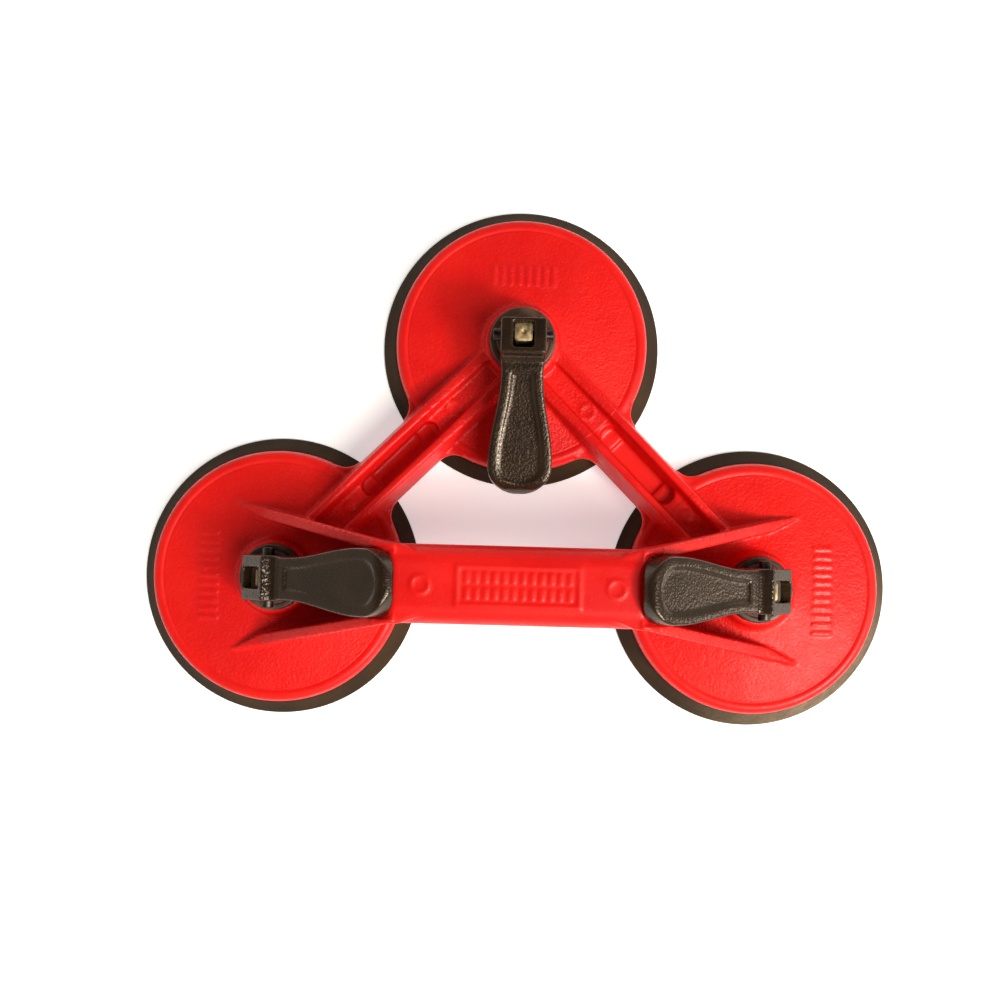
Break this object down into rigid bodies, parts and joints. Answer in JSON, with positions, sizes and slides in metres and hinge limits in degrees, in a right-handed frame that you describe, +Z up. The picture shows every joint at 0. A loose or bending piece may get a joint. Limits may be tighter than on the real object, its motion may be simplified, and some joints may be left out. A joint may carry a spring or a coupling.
{
  "type": "vacuum suction lifter",
  "caption": "Hand lifter for glass and sheet: a cast triangular frame with a raised handle, rubber vacuum pads and cam levers.",
  "frame": {"origin": "centre of the footprint, on the plane of the three pad lips", "axes": "+X along the handle, +Y from the handle towards the single cup, +Z up, away from the sheet that is lifted"},
  "size_m": [0.323, 0.2214, 0.0748],
  "materials": {
    "red_enamel": "gloss",
    "black_rubber": "matte",
    "zinc_plate": "satin",
    "stud_steel": "satin",
    "spring_steel": "satin",
    "black_acetal": "satin",
    "pin_steel": "polished",
    "black_nylon": "satin"
  },
  "bodies": {
    "frame": {"cast_frame": "red_enamel", "top_collar": "black_acetal", "top_pad": "black_rubber", "top_return_spring": "spring_steel", "left_collar": "black_acetal", "left_pad": "black_rubber", "left_return_spring": "spring_steel", "right_collar": "black_acetal", "right_pad": "black_rubber", "right_return_spring": "spring_steel"},
    "top_stud_body": {"top_stud": "stud_steel", "top_pad_disc": "zinc_plate", "top_pivot_pin": "pin_steel"},
    "top_lever_body": {"top_lever": "black_nylon"},
    "left_stud_body": {"left_stud": "stud_steel", "left_pad_disc": "zinc_plate", "left_pivot_pin": "pin_steel"},
    "left_lever_body": {"left_lever": "black_nylon"},
    "right_stud_body": {"right_stud": "stud_steel", "right_pad_disc": "zinc_plate", "right_pivot_pin": "pin_steel"},
    "right_lever_body": {"right_lever": "black_nylon"}
  },
  "joints": [
    {"name": "top_stud_lift", "type": "slide", "parent": "frame", "child": "top_stud_body", "axis": [0, 0, 1], "range_m": [-0.00405, 0], "deforming": ["top_pad", "top_return_spring"]},
    {"name": "top_lever_turn", "type": "hinge", "parent": "top_stud_body", "child": "top_lever_body", "pos_m": [0, 0.05075, 0.0385], "axis": [-1, 0, 0], "range_deg": [0, 90]},
    {"name": "left_stud_lift", "type": "slide", "parent": "frame", "child": "left_stud_body", "axis": [0, 0, 1], "range_m": [-0.00206, 0], "deforming": ["left_pad", "left_return_spring"]},
    {"name": "left_lever_turn", "type": "hinge", "parent": "left_stud_body", "child": "left_lever_body", "pos_m": [-0.1015, -0.05075, 0.03654], "axis": [0, -1, 0], "range_deg": [0, 46]},
    {"name": "right_stud_lift", "type": "slide", "parent": "frame", "child": "right_stud_body", "axis": [0, 0, 1], "range_m": [-0.00206, 0], "deforming": ["right_pad", "right_return_spring"]},
    {"name": "right_lever_turn", "type": "hinge", "parent": "right_stud_body", "child": "right_lever_body", "pos_m": [0.1015, -0.05075, 0.03654], "axis": [0, 1, 0], "range_deg": [0, 46]}
  ],
  "couplings": [
    {"joint": "top_stud_lift", "follows": "top_lever_turn", "m_per_rad": -0.002546},
    {"joint": "left_stud_lift", "follows": "left_lever_turn", "m_per_rad": -0.002546},
    {"joint": "right_stud_lift", "follows": "right_lever_turn", "m_per_rad": -0.002546}
  ]
}
